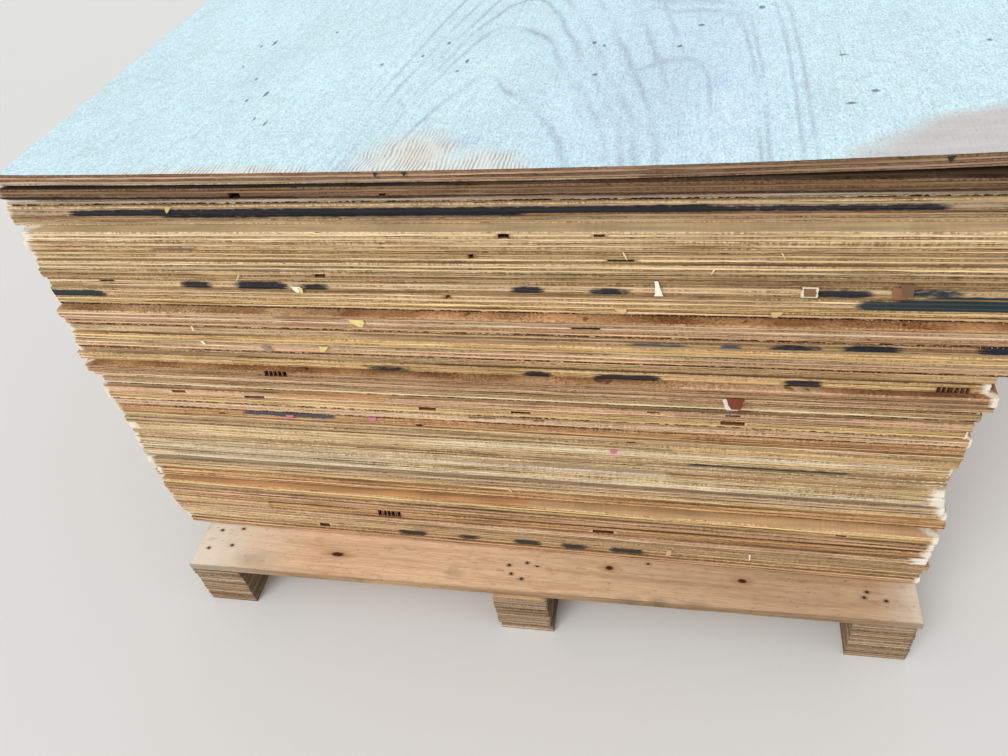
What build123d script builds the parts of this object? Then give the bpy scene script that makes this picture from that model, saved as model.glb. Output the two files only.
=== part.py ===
import math
import os

from build123d import *

# A pile of 4 by 8 ft plywood sheets on a low pallet of three runners and five cross boards.
# X runs along the sheets' short edges, Y along their long edges from front to back, and Z up.
# The origin is on the ground, under the centre of the box that the whole load fills.
# The pile's own reference is the middle of a squarely stacked sheet's front edge.

# Sheets of 19/32 in five-ply plywood
sheet_width = 1219.0
sheet_length = 2438.0
sheet_thickness = 14.65

# How the flat sheets lie, from the bottom up. Sheets that were slid on together form a run: how many
# sheets it has, its shift to the right, its shift to the back and its turn in degrees.
run_counts = [3, 2, 2, 2, 1, 2, 1, 2, 2, 2, 3, 2, 2, 1, 1, 2, 4, 1, 1, 6, 1, 3]
run_sides = [
    1.0, 4.0, 1.0, 0.0, -6.0, 4.0, 1.0, -5.0, -7.0, -4.0, -1.0,
    -3.0, 2.0, 5.0, 8.0, -2.0, 13.0, 16.0, 13.0, 17.0, 17.0, 3.0,
]
run_backs = [
    5.0, -4.0, -3.0, -8.0, 5.0, -3.0, -6.0, -2.0, 4.0, 1.0, -2.0,
    -3.0, -1.0, -12.0, -22.0, -10.0, -15.0, -22.0, -9.0, -8.0, -10.0, 7.0,
]
run_turns = [
    -0.10, 0.05, 0.10, -0.25, 0.20, 0.00, 0.10, -0.05, 0.10, 0.00, -0.05,
    0.10, 0.00, 0.00, 0.10, -0.10, 0.05, 0.00, 0.00, 0.00, -0.10, 0.10,
]
# Inside a run, neighbours still stray from each other by up to this much.
stray_to_side = 2.5
stray_to_front = 1.5
stray_angle = 137.5

# The two warped sheets on top, which curl up at the front and lie nearly flat at the back
second_shift = (5.0, -7.0)
top_shift = (24.0, 0.0)
second_curl_start = -155.0
second_left_lift = 3.0
top_left_curl_start = -75.0
top_left_clearance = 1.2
top_right_curl_start = 60.0
top_right_lift = 11.0
back_curl_share = 0.04

# Pallet, which stands a little askew and further forward than the sheets
pallet_width = 1180.0
pallet_length = 2438.0
pallet_shift = 19.8
pallet_lead = 72.5
pallet_turn = 1.0
runner_width = 89.0
lamination_thickness = 14.85
# Each runner's middle, from the pallet's middle, and how far its ends stand forward of the cross boards
left_runner_side = -542.0
middle_runner_side = -5.0
right_runner_side = 539.0
middle_runner_lead = 6.0
# Sideways slip of each runner's glued laminations, from the ground up
left_slips = [2.0, 1.0, 0.0, 0.5, 0.0, -3.0]
middle_slips = [4.0, 0.0, 1.0, 0.0, -1.0, 0.0]
right_slips = [-1.0, 0.0, 0.5, 0.0, 1.0, 0.0]
deck_width = 140.0
deck_thickness = 15.0
deck_count = 5

# Heights
runner_height = lamination_thickness * len(middle_slips)
deck_top = runner_height + deck_thickness


def corners(side, back, turn, width, length):
    """Corners of a turned rectangle whose front edge has its middle at (side, back)."""
    along = math.radians(turn)
    across = (width / 2 * math.cos(along), width / 2 * math.sin(along))
    deep = (-length * math.sin(along), length * math.cos(along))
    front = [(side - across[0], back - across[1]), (side + across[0], back + across[1])]
    return front + [(x + deep[0], y + deep[1]) for x, y in front]


# Place of every flat sheet: shift to the right, shift to the back, turn
flat_sheets = []
for run_count, run_side, run_back, run_turn in zip(run_counts, run_sides, run_backs, run_turns):
    for _ in range(run_count):
        wander = math.radians(stray_angle * len(flat_sheets))
        flat_sheets.append((
            run_side + stray_to_side * math.cos(wander),
            run_back + stray_to_front * math.sin(wander),
            run_turn,
        ))
flat_top = deck_top + sheet_thickness * len(flat_sheets)

# Reach of the whole load, which gives its centre in the pile's own reference
reach = corners(pallet_shift, -pallet_lead, pallet_turn, pallet_width, pallet_length)
for side, back, turn in flat_sheets + [(*second_shift, 0.0), (*top_shift, 0.0)]:
    reach += corners(side, back, turn, sheet_width, sheet_length)
centre_x = (min(x for x, y in reach) + max(x for x, y in reach)) / 2
centre_y = (min(y for x, y in reach) + max(y for x, y in reach)) / 2
pile = Plane(origin=(-centre_x, -centre_y, 0))
pallet = Plane(
    origin=(pallet_shift - centre_x, -pallet_lead - centre_y, 0),
    x_dir=(math.cos(math.radians(pallet_turn)), math.sin(math.radians(pallet_turn)), 0),
)

os.makedirs("parts", exist_ok=True)

# Runners: glued laminations along the whole pallet
runner_spots = {
    "runner_left": (left_runner_side, 0.0, left_slips),
    "runner_middle": (middle_runner_side, middle_runner_lead, middle_slips),
    "runner_right": (right_runner_side, 0.0, right_slips),
}
for name, (runner_side, runner_lead, slips) in runner_spots.items():
    front_end = pallet.from_local_coords((runner_side, -runner_lead, 0))
    with BuildPart() as runner:
        with BuildSketch(Plane(origin=front_end, x_dir=pallet.x_dir, z_dir=-pallet.y_dir)):
            for layer, slip in enumerate(slips):
                with Locations((slip, lamination_thickness * (layer + 0.5))):
                    Rectangle(runner_width, lamination_thickness)
        extrude(amount=-pallet_length)
    runner.part.label = name
    export_step(runner.part, f"parts/{name}.step")

# Cross boards: evenly spaced, the first and last flush with the pallet's ends
deck_pitch = (pallet_length - deck_width) / (deck_count - 1)
for number in range(deck_count):
    with BuildPart() as deck_board:
        with BuildSketch(pallet.offset(runner_height)):
            with Locations((0, deck_pitch * number)):
                Rectangle(pallet_width, deck_width, align=(Align.CENTER, Align.MIN))
        extrude(amount=deck_thickness)
    deck_board.part.label = f"deck_board_{number + 1}"
    export_step(deck_board.part, f"parts/{deck_board.part.label}.step")

# Flat sheets, each resting on the one below
for number, (side, back, turn) in enumerate(flat_sheets):
    with BuildPart() as sheet:
        with BuildSketch(pile.offset(deck_top + sheet_thickness * number)):
            with Locations((side, back)):
                Rectangle(sheet_width, sheet_length, rotation=turn, align=(Align.CENTER, Align.MIN))
        extrude(amount=sheet_thickness)
    sheet.part.label = f"sheet_{number + 1:02d}"
    export_step(sheet.part, f"parts/{sheet.part.label}.step")


def sheet_outline(shift, base, left_curl, right_curl):
    """Outline of a warped sheet's end, flat between two curls of (start, lift at the edge)."""
    left = shift - sheet_width / 2
    right = shift + sheet_width / 2
    left_start, left_lift = left_curl
    right_start, right_lift = right_curl
    with BuildLine() as outline:
        for height in (base, base + sheet_thickness):
            Line((left_start, height), (right_start, height))
            TangentArc((left_start, height), (left, height + left_lift), tangent=(-1, 0))
            if right_lift:
                TangentArc((right_start, height), (right, height + right_lift), tangent=(1, 0))
        Line((left, base + left_lift), (left, base + sheet_thickness + left_lift))
        Line((right, base + right_lift), (right, base + sheet_thickness + right_lift))
    return outline.line


def end_plane(back):
    """Upright plane across the pile, this far behind a squarely stacked sheet's front edge."""
    return Plane(origin=pile.from_local_coords((0, back, 0)), x_dir=(1, 0, 0), z_dir=(0, -1, 0))


# Second sheet: its front left corner curls up, so a dark gap opens below it there
second_number = len(flat_sheets) + 1
second_left = second_shift[0] - sheet_width / 2
second_right = second_shift[0] + sheet_width / 2
with BuildPart() as second_sheet:
    for distance, share in ((0.0, 1.0), (sheet_length, back_curl_share)):
        with BuildSketch(end_plane(second_shift[1] + distance)):
            left_curl = (second_curl_start, second_left_lift * share)
            add(sheet_outline(second_shift[0], flat_top, left_curl, (second_right, 0.0)))
            make_face()
    loft(ruled=True)
second_sheet.part.label = f"sheet_{second_number:02d}"
export_step(second_sheet.part, f"parts/{second_sheet.part.label}.step")

# Top sheet: it stays just clear of the second's curl, and its own front right corner stands up
second_top = flat_top + sheet_thickness
top_left = top_shift[0] - sheet_width / 2
curl_radius = (second_left_lift**2 + (second_curl_start - second_left) ** 2) / (2 * second_left_lift)
second_height_there = curl_radius - math.sqrt(curl_radius**2 - (second_curl_start - top_left) ** 2)
top_left_lift = second_height_there + top_left_clearance
with BuildPart() as top_sheet:
    for distance, share in ((0.0, 1.0), (sheet_length, back_curl_share)):
        with BuildSketch(end_plane(top_shift[1] + distance)):
            left_curl = (top_left_curl_start, top_left_lift * share)
            right_curl = (top_right_curl_start, top_right_lift * share)
            add(sheet_outline(top_shift[0], second_top, left_curl, right_curl))
            make_face()
    loft(ruled=True)
top_sheet.part.label = f"sheet_{second_number + 1:02d}"
export_step(top_sheet.part, f"parts/{top_sheet.part.label}.step")
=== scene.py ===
import math

import bpy
import numpy as np
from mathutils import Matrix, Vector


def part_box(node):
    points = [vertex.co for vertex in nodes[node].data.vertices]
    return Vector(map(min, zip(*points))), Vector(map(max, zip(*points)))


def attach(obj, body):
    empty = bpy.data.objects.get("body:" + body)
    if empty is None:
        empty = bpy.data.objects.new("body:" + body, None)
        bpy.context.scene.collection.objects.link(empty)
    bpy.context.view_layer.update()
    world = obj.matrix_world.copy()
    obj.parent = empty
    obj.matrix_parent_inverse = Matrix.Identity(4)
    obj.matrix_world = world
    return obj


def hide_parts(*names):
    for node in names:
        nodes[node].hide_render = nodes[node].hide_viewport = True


bl_info = {
    "name": "Plywood Stack",
    "version": (1, 0, 0),
    "blender": (4, 5, 0),
    "location": "View3D > Sidebar > Plywood Stack",
    "description": "Dresses a pile of plywood sheets and the pallet below it",
    "category": "Object",
}

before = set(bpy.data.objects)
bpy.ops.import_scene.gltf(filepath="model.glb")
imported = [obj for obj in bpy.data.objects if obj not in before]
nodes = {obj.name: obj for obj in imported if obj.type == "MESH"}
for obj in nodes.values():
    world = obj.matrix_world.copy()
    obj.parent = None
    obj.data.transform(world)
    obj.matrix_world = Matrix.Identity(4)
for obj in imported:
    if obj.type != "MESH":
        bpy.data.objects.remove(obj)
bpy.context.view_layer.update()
MM = 0.001
BODY = "root"

# Pieces of the pile, from the ground up. The last two sheets are the curled ones.
SHEETS = sorted(name for name in nodes if name.startswith("sheet_"))
BOARDS = sorted(name for name in nodes if name.startswith("deck_board_"))
RUNNERS = ("runner_left", "runner_middle", "runner_right")
CURLED = SHEETS[-2:]

# Tables of the sheets are in mm, and count the sheets and the plies from the ground up.
# Wood of each sheet's edges
EDGE_WOODS = (
    "rosy straw tan tan rosy amber amber rosy honey rosy amber honey tan cream cream straw straw cream "
    "straw tan amber rosy honey rosy straw rosy rosy rosy honey tan rosy honey tan rosy rosy honey tan tan "
    "tan straw straw tan straw tan tan drift umber ash"
).split()
# Face veneers that show where the next sheet lies further back. Sheet: (wood, how far back it shows, whether
# the saw frayed it as roughly as the edge below it)
MARGINS = {
    9: ("margin", 17, False), 14: ("cream", 7, True), 21: ("gold", 7, True), 28: ("gold", 12, True),
    34: ("gold", 7, True), 35: ("gold", 15, True), 43: ("face", 20, False), 46: ("umber", 7, True),
    # Sheet 47's char face is painted shadow under the lifted top sheet
    47: ("char", 9, True),
}

# Plies of the front edge that differ in tone. Sheet: (lowest ply, highest ply, start and end from the left,
# wood, cover)
PLY_TONES = {
    1: [(4, 4, 330, 1219, "umber", 0.35)], 2: [(0, 0, 0, 1219, "cream", 0.4)],
    3: [(0, 4, 430, 1219, "umber", 0.35)],
    4: [(3, 3, 330, 1219, "umber", 0.5), (0, 4, 430, 1219, "umber", 0.28)],
    5: [(0, 0, 330, 1219, "umber", 0.5), (4, 4, 860, 1219, "umber", 0.6)],
    6: [(0, 4, 0, 190, "straw", 0.6), (0, 4, 190, 1219, "umber", 0.2)], 7: [(3, 3, 560, 1219, "umber", 0.35)],
    8: [(0, 0, 600, 1219, "amber", 0.7), (2, 2, 0, 1219, "umber", 0.4)], 9: [(4, 4, 640, 1219, "cream", 0.4)],
    10: [(4, 4, 700, 1219, "russet", 0.6)],
    11: [(0, 0, 560, 1219, "russet", 0.5), (2, 4, 330, 430, "russet", 0.5)],
    12: [(4, 4, 0, 1219, "cream", 0.5), (2, 3, 0, 1219, "straw", 0.4)],
    13: [(2, 2, 300, 1219, "umber", 0.4), (0, 4, 0, 1219, "drift", 0.32)],
    14: [(0, 0, 0, 1219, "umber", 0.35), (1, 2, 0, 1219, "chalk", 0.35), (3, 4, 60, 430, "drift", 0.6)],
    15: [(0, 0, 60, 430, "drift", 0.9), (3, 4, 0, 860, "chalk", 0.35)],
    17: [(0, 1, 860, 1130, "char", 0.3), (2, 4, 0, 1219, "cream", 0.35)],
    18: [(0, 0, 0, 700, "chalk", 0.25), (2, 4, 480, 1180, "chalk", 0.3)],
    19: [(2, 4, 860, 1219, "honey", 0.6)],
    20: [(2, 2, 350, 600, "umber", 0.5), (4, 4, 640, 720, "umber", 0.5)],
    21: [(0, 4, 0, 1219, "umber", 0.15), (0, 0, 560, 1219, "umber", 0.5)],
    22: [(2, 2, 0, 1219, "cream", 0.35), (4, 4, 600, 690, "umber", 0.5)], 23: [(0, 0, 0, 1219, "cream", 0.3)],
    24: [(0, 2, 860, 1100, "amber", 0.5), (2, 4, 300, 470, "amber", 0.8), (0, 4, 860, 1219, "umber", 0.15)],
    25: [(0, 0, 560, 1219, "umber", 0.45)],
    26: [(2, 3, 900, 1000, "amber", 0.5), (3, 4, 600, 760, "amber", 0.4)],
    27: [(4, 4, 0, 1219, "umber", 0.3), (0, 4, 860, 1219, "umber", 0.15)],
    28: [(3, 3, 0, 1219, "umber", 0.35), (4, 4, 860, 1219, "rosy", 0.8)],
    29: [(3, 3, 560, 640, "russet", 0.3), (0, 4, 0, 260, "cream", 0.3)],
    30: [(1, 1, 0, 700, "umber", 0.3), (4, 4, 0, 860, "umber", 0.35), (4, 4, 860, 1219, "gold", 0.7)],
    31: [(0, 0, 0, 900, "umber", 0.55), (0, 4, 860, 1219, "umber", 0.25)],
    32: [(4, 4, 330, 1219, "honey", 0.8)],
    33: [(0, 4, 430, 1219, "umber", 0.22), (1, 3, 0, 430, "straw", 0.6)],
    34: [(0, 0, 0, 1219, "umber", 0.5), (1, 2, 860, 1219, "rosy", 0.7), (3, 4, 880, 1219, "umber", 0.4)],
    35: [(3, 4, 330, 425, "russet", 0.8), (4, 4, 0, 260, "rosy", 0.8), (4, 4, 0, 420, "tan", 0.7)],
    36: [(0, 0, 0, 1219, "rosy", 0.8), (2, 2, 622, 640, "russet", 0.8)],
    39: [(0, 4, 880, 1219, "umber", 0.3)],
    40: [(0, 0, 260, 420, "umber", 0.4), (0, 0, 880, 1219, "umber", 0.5)],
    42: [(1, 1, 190, 252, "umber", 0.8)],
    43: [(0, 0, 0, 1219, "cream", 0.7), (2, 2, 0, 1219, "umber", 0.3), (4, 4, 0, 1219, "cream", 0.7)],
    44: [
        (1, 1, 0, 420, "umber", 0.35), (0, 4, 0, 1219, "drift", 0.5), (3, 4, 0, 1219, "umber", 0.3),
        (0, 0, 0, 1219, "cream", 0.4),
    ],
    45: [(0, 4, 0, 1219, "drift", 0.5), (4, 4, 0, 1219, "cream", 0.35)],
    46: [
        (0, 0, 0, 1219, "cream", 0.5), (2, 2, 0, 1219, "straw", 0.5), (3, 4, 0, 1219, "umber", 0.35),
        (2, 2, 0, 52, "chalk", 0.9),
    ],
    # Sheet 47's darker plies at the right are painted shadow under the lifted top sheet
    47: [(2, 4, 560, 1219, "umber", 0.45)],
    48: [(0, 0, 0, 1219, "cream", 0.45), (4, 4, 0, 1219, "russet", 0.5), (0, 4, 800, 1219, "umber", 0.4)],
}

# Dark paint on the front edge. Sheet: (from and to which height in plies, start, end, paint, cover)
PAINT_MARKS = {
    2: [
        (0.0, 4.8, 406, 454, "char", 0.95), (0.9, 5.4, 510, 546, "char", 0.85),
        (0.0, 4.9, 606, 650, "char", 1.0), (0.0, 4.9, 684, 724, "char", 0.95),
        (0.0, 5.0, 764, 814, "char", 1.0),
    ],
    17: [(0.0, 1.4, 880, 1100, "char", 0.62)], 21: [(3.0, 5.3, 224, 372, "slate", 1.0)],
    29: [
        (-0.2, 2.8, 454, 515, "navy", 0.66), (-0.2, 2.8, 670, 706, "navy", 1.0),
        (-0.3, 2.8, 764, 846, "navy", 1.0), (0.0, 3.5, 992, 1036, "navy", 1.0),
    ],
    33: [
        (-0.2, 1.7, 786, 862, "slate", 0.6), (0.0, 2.3, 900, 922, "slate", 0.85),
        (0.0, 2.9, 954, 1012, "navy", 0.7), (0.1, 3.4, 1034, 1096, "navy", 0.9),
        (1.2, 5.0, 1174, 1240, "navy", 0.85),
    ],
    37: [
        (-0.5, 3.3, -40, 84, "teal", 1.0), (0.4, 4.2, 1038, 1110, "teal", 0.9),
        (0.3, 5.5, 1080, 1260, "teal", 1.0),
    ],
    38: [
        (0.0, 3.6, 203, 247, "navy", 0.95), (-0.2, 4.0, 284, 354, "navy", 1.0),
        (0.0, 3.0, 374, 412, "navy", 0.85), (0.0, 3.1, 648, 686, "navy", 1.0),
        (0.0, 2.9, 742, 786, "navy", 0.8), (0.7, 3.5, 984, 1052, "navy", 0.8),
        (1.3, 4.1, 1078, 1140, "navy", 0.65), (-0.5, 1.0, 1105, 1240, "teal", 0.95),
    ],
    44: [(3.9, 5.2, 225, 690, "navy", 0.8)],
    45: [
        (0.0, 2.9, 96, 200, "navy", 0.9), (0.3, 2.9, 160, 480, "navy", 0.85),
        (0.0, 2.8, 400, 900, "navy", 1.0), (0.3, 2.5, 850, 1125, "navy", 0.72),
    ],
    47: [(0.3, 1.0, 10, 430, "plum", 1.0), (0.3, 1.1, 400, 1219, "plum", 0.45)],
}

# Gaps in the plies of the front edge. Sheet: (lowest ply, highest ply, start, end, slats left, depth)
CORE_GAPS = {
    2: [(1, 3, 259, 279, 0, 3)], 6: [(1, 4, 381, 421, 6, 12), (1, 2, 734, 768, 0, 3)],
    9: [(1, 1, 1084, 1100, 0, 3)], 20: [(1, 1, 797, 809, 0, 6)],
    21: [(2, 2, 181, 191, 0, 5), (1, 1, 496, 507, 0, 6)],
    22: [(3, 3, 575, 612, 0, 4), (3, 3, 668, 682, 0, 4)],
    23: [(2, 3, 509, 536, 0, 3), (3, 3, 643, 672, 0, 3), (2, 3, 923, 955, 0, 3)],
    24: [(2, 3, 119, 144, 0, 3), (0, 1, 238, 272, 0, 3), (3, 3, 826, 844, 0, 3), (3, 3, 926, 946, 0, 3)],
    28: [(2, 4, 291, 326, 4, 12)], 29: [(0, 2, 1161, 1197, 5, 12)], 35: [(1, 1, 719, 754, 0, 8)],
    37: [(2, 3, 566, 573, 0, 12)], 38: [(3, 3, 82, 104, 0, 4)], 39: [(2, 3, 403, 418, 0, 12)],
    41: [(1, 1, 766, 797, 0, 8), (2, 3, 604, 611, 0, 8)],
    43: [(2, 3, 641, 655, 0, 6), (3, 3, 750, 763, 0, 6)],
    47: [(0, 2, 336, 352, 0, 12), (1, 1, 524, 533, 0, 8)],
}

# Gaps less deep than this are filled with dark patching wood.
FILLED_DEPTH = 3.5
# Sheets whose lower front edge tore in the saw, and the least height of the tear
RAGGED = {22: 0.2, 23: 0.2, 25: 0.2, 31: 0.8, 34: 0.6, 36: 1.1, 46: 0.1}
# How far along the front a corner's bruised fibres reach, painted near white: pale bruised wood, and painted
# sunlight on the corner
BRUISED_AND_SUNLIT_LEFT = {
    2: 8, 5: 7, 8: 7, 11: 10, 13: 18, 15: 8, 16: 9, 18: 26, 20: 7, 21: 8, 23: 8, 24: 8, 26: 8, 28: 7, 30: 9,
    32: 7, 33: 8, 34: 8, 36: 7, 41: 8, 42: 9, 43: 16, 44: 6, 45: 7, 46: 12, 47: 8,
}
BRUISED_AND_SUNLIT_RIGHT = {
    5: 26, 6: 16, 7: 9, 8: 9, 9: 12, 10: 5, 12: 9, 13: 14, 14: 32, 15: 22, 18: 6, 22: 5, 23: 5, 26: 7, 28: 11,
    29: 11,
}
# Extra points on the long edges, from the front corner
CORNER_STEPS = (3, 7, 12, 18)
# Corners broken right off. Sheet: (whether it is the right one, how far along, how deep)
BROKEN = {1: [(True, 12, 3)], 47: [(False, 22, 8)]}

# Torn flakes that stand off the front edges: (sheet, place from the left, share of its height, width, drop,
# sideways lean in degrees, width at the foot as a share, stand-off, colour)
FLAKES = [
    (39, 823, 0.55, 4, 20, 10, 2.6, 0.4, "chalk"), (39, 989, 0.15, 17, 13, 0, 1.0, 0.2, "chalk"),
    (39, 989, 0.05, 13, 9.5, 0, 1.0, 1.2, "russet"), (27, 922, 0.45, 20, 18, 6, 0.75, 0.2, "chalk"),
    (27, 927, 0.62, 22, 18, 4, 0.5, 1.2, "brick"), (39, 1088, 0.5, 15, 16, 6, 0.5, 0.6, "umber"),
    (39, 1083, 0.2, 20, 15, -6, 0.6, 0.2, "russet"), (45, 243, 1.0, 8, 8, -30, 0.2, 0.8, "lemon"),
    (38, 368, 0.45, 13, 8, 10, 0.3, 0.8, "chalk"), (38, 374, 0.35, 7, 7, 10, 0.4, 1.6, "lemon"),
    (35, 445, 0.75, 20, 10, 25, 0.3, 0.8, "lemon"), (32, 388, 0.2, 13, 8, -25, 0.3, 0.8, "lemon"),
    (36, 785, 0.75, 14, 6, 20, 0.3, 0.8, "honey"), (36, 961, 0.75, 12, 7, -20, 0.3, 0.8, "honey"),
    (42, 786, 0.3, 2, 9, 24, 0.6, 1.0, "cream"), (42, 954, 0.3, 1.8, 7, 30, 0.6, 1.0, "cream"),
    (40, 882, 0.8, 2, 6, -30, 0.6, 1.0, "cream"), (32, 300, 0.05, 10, 9, 30, 0.7, 1.0, "drift"),
    (4, 850, 0.2, 6, 12, -12, 1.2, 1.0, "honey"), (4, 969, 0.6, 2.4, 13, 0, 0.8, 1.0, "chalk"),
    (21, 301, 0.95, 12, 6, 0, 0.7, 0.6, "rose"), (22, 428, 0.1, 12, 6, 0, 0.6, 0.6, "rose"),
    (18, 784, 1.2, 9, 6, -15, 0.7, 0.8, "rose"), (32, 208, 0.4, 5, 4, 40, 0.6, 0.8, "chalk"),
    (48, 1090, 1.0, 7, 5, 0, 0.2, 0.1, "char"), (48, 505, 1.0, 5, 4, 0, 0.2, 0.1, "char"),
    (48, 539, 1.0, 6, 4, 0, 0.2, 0.1, "char"), (39, 300, 0.7, 2.4, 8, -35, 0.6, 0.8, "cream"),
    (34, 206, 0.2, 2.4, 7, 10, 0.6, 0.8, "chalk"), (12, 610, 0.5, 3, 6, 40, 0.6, 0.8, "cream"),
]

# Nails in the front board: mm along it from its left end, and back from its front edge
NAILS = [(31, 75), (70, 81), (63, 45), (22, 36), (561, 47), (590, 54), (567, 31), (585, 23), (1108, 47),
         (1103, 37), (1133, 34)]
# Knots in the front board: mm along, mm back, half length, half width
KNOTS = [(263, 43, 17, 9), (723, 56, 9, 8), (928, 50, 10, 8), (784, 69, 4, 4), (607, 49, 4, 3)]
# Grey smudges on the front board: mm along, mm back, half length, half width
SMUDGES = [(757, 3, 30, 12), (803, 3, 26, 12), (860, 3, 40, 8), (474, 26, 26, 28), (120, 20, 70, 30)]
# Places on the top face are in mm: from its left edge, from its front edge, half size across and along
# Faint blue washes: place, cover
WASHES = [
    (800, 260, 210, 520, 0.3), (583, 66, 40, 20, 0.6), (700, 200, 22, 18, 0.45), (878, 190, 22, 34, 0.45),
]
# Dark specks
SPECKS = [
    (199, 386, 3, 9), (217, 395, 4, 14), (202, 310, 2, 6), (243, 265, 3, 7), (280, 214, 4, 12),
    (259, 197, 3, 8), (316, 127, 3, 10), (295, 142, 2, 7), (421, 296, 4, 9), (308, 426, 3, 7),
    (502, 362, 4, 8), (544, 295, 3, 9), (537, 264, 4, 6), (474, 320, 3, 6), (712, 335, 4, 7),
    (726, 323, 3, 7), (724, 233, 5, 6), (929, 423, 5, 8), (825, 307, 5, 6), (851, 374, 6, 6),
    (1014, 122, 9, 4), (1040, 149, 7, 5), (1017, 250, 8, 4), (1175, 263, 4, 6), (620, 1010, 4, 8),
    (300, 1380, 3, 9), (905, 1640, 4, 6), (480, 1900, 4, 8), (1060, 2110, 3, 7),
]
# Bare patch at the right, where the wood under the bleached skin shows
BARE_PATCH = (1200, -30, 240, 170)
# Patches of torn skin by the front edge, and their creamy heart
TORN_PATCHES = [(535, 12, 85, 105), (620, 0, 75, 60), (310, -8, 200, 36)]
TORN_HEART = (550, 45, 50, 50)
# Metres from ridge to ridge in the torn skin
RIDGE_PITCH = 0.0048
# Ends of the cross boards, bleached and lightened with painted light: metres from the left to where it starts
# and where it is full, and cover
BLEACHED_AND_LIT_ENDS = [(0.25, 0.0, 1.0), (1.1, 1.19, 0.6)]
# Dirt round a nail: half length and half width in mm
NAIL_STAIN = (7, 5)

# Wood is redder in the shade and paler in the light: how fast red, green and blue follow its lightness
WARMTH = (1.0, 1.18, 1.45)
GLUE_TINT = (0.42, 0.30, 0.23)
NAIL_STEEL = (0.018, 0.014, 0.013)
NAIL_RUST = (0.09, 0.04, 0.022)
# Lightness of a ply that is sawn across its grain, and of one that is sawn along it
END_TONE, LONG_TONE = 0.8, 1.16
# The order of a board's materials
END_GRAIN, LONG_GRAIN, UNDERSIDE, TOP = range(4)
# A ring inset by fewer mm than this is part of the edge, and otherwise of the rim
WIDEST_ARRIS = 3
# How many mm a slat in a gap strays from its place
SLAT_STRAY = 1.6
# In metres, as the solids have it
SHEET_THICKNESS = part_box(SHEETS[0])[1].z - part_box(SHEETS[0])[0].z


def linear(code):
    """Linear red, green and blue of a colour written as six hexadecimal digits."""
    parts = [int(code[k:k + 2], 16) / 255 for k in (0, 2, 4)]
    return tuple(p / 12.92 if p < 0.04045 else ((p + 0.055) / 1.055) ** 2.4 for p in parts)


def colour(name, description, code):
    return bpy.props.FloatVectorProperty(
        name=name, description=description, subtype="COLOR", size=3, min=0.0, max=1.0, default=linear(code)
    )


def amount(name, description, default):
    return bpy.props.FloatProperty(name=name, description=description, default=default)


def length(name, description, millimetres):
    return bpy.props.FloatProperty(
        name=name, description=description, subtype="DISTANCE", unit="LENGTH", min=0.0,
        default=millimetres * MM,
    )


class PlywoodSettings(bpy.types.PropertyGroup):
    """Colours and edge detail of the sheets"""

    ply_count: bpy.props.IntProperty(name="Plies", description="Veneers in a sheet", min=3, default=5)
    edge_step: length("Edge step", "Distance between points along a front edge", 6)
    side_step: length("Side step", "Distance between points along a long edge", 24)
    ragged_step: length("Ragged step", "Distance between points along a torn edge", 1.5)
    arris: length("Arris", "How far the sharp corners of an edge are rubbed off", 1.1)
    rim: length("Rim", "Width of the face's worn rim", 6)
    glue_line: length("Glue line", "Height of the dark line between two plies", 0.4)
    fibre_spacing: length("Fibre spacing", "Distance between splinters along a torn edge", 5.5)
    fibre_length: length("Fibre length", "Length of a splinter", 3.2)
    fibre_radius: length("Fibre radius", "Radius of a splinter at its root", 0.35)
    straw: colour("Straw", "Pale yellow sapwood", "DFC195")
    tan: colour("Tan", "Plain brown wood", "D1B186")
    cream: colour("Cream", "Palest sapwood", "EFD3A5")
    honey: colour("Honey", "Yellow wood", "E3C08C")
    amber: colour("Amber", "Orange heartwood", "CEA172")
    rosy: colour("Rosy", "Pinkish brown wood", "D5AE88")
    ash: colour("Ash", "Greyish brown wood of the top sheet", "AC9078")
    umber: colour("Umber", "Dark brown wood", "7E6145")
    russet: colour("Russet", "Reddish brown wood", "94684A")
    drift: colour("Drift", "Greyed wood", "AC9982")
    face: colour("Face", "Smooth face of an inner sheet", "615039")
    margin: colour("Margin", "Warm face of an inner sheet", "E0AE7A")
    gold: colour("Gold", "Golden face that shows below a torn edge", "D9AC7C")
    # Painted shadow under a torn lip, over the dark red of the glue
    shadow: colour("Shadow", "Dark red brown inside a torn edge", "451F14")
    # Also the near-white of bruised corners, which holds painted sunlight
    chalk: colour("Chalk", "Bleached white fibre", "F4ECDC")
    lemon: colour("Lemon", "Yellow sliver", "DCCB86")
    brick: colour("Brick", "Red brown sliver", "8A4630")
    rose: colour("Rose", "Pink fibre", "D17A94")
    torn: colour("Torn fibre", "Cream fibre where the top face is torn", "EFF1EC")
    torn_line: colour("Torn line", "Dark lines between the torn fibres", "9C917F")
    # Painted shade: the near-black inside of a deep gap
    void: colour("Void", "Inside of a gap in the core", "1F0C10")
    void_rim: colour("Void rim", "Reddish rim of a gap in the core", "8A5238")
    filler: colour("Filler", "Patching wood in a shallow gap", "6E3828")
    navy: colour("Navy", "Dark blue edge paint", "101928")
    teal: colour("Teal", "Green blue edge paint", "12303A")
    slate: colour("Slate", "Thin grey blue edge paint", "484E55")
    plum: colour("Plum", "Purple black line in the second sheet", "2C1A20")
    char: colour("Char", "Grey black edge paint", "35332F")
    # Painted sky light: the top face is paler and bluer than its grey weathered veneer
    weathered_and_skylit: colour("Weathered face", "Bleached blue grey face of the top sheet", "D9F6FF")
    weathered_line: colour("Weathered grain", "Grain lines of the top sheet's face", "A6B2C8")
    wash: colour("Wash", "Faint blue tinge on the top face", "BFD0F2")
    bare: colour("Bare patch", "Where the top face has worn to wood", "D0C7C3")


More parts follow.
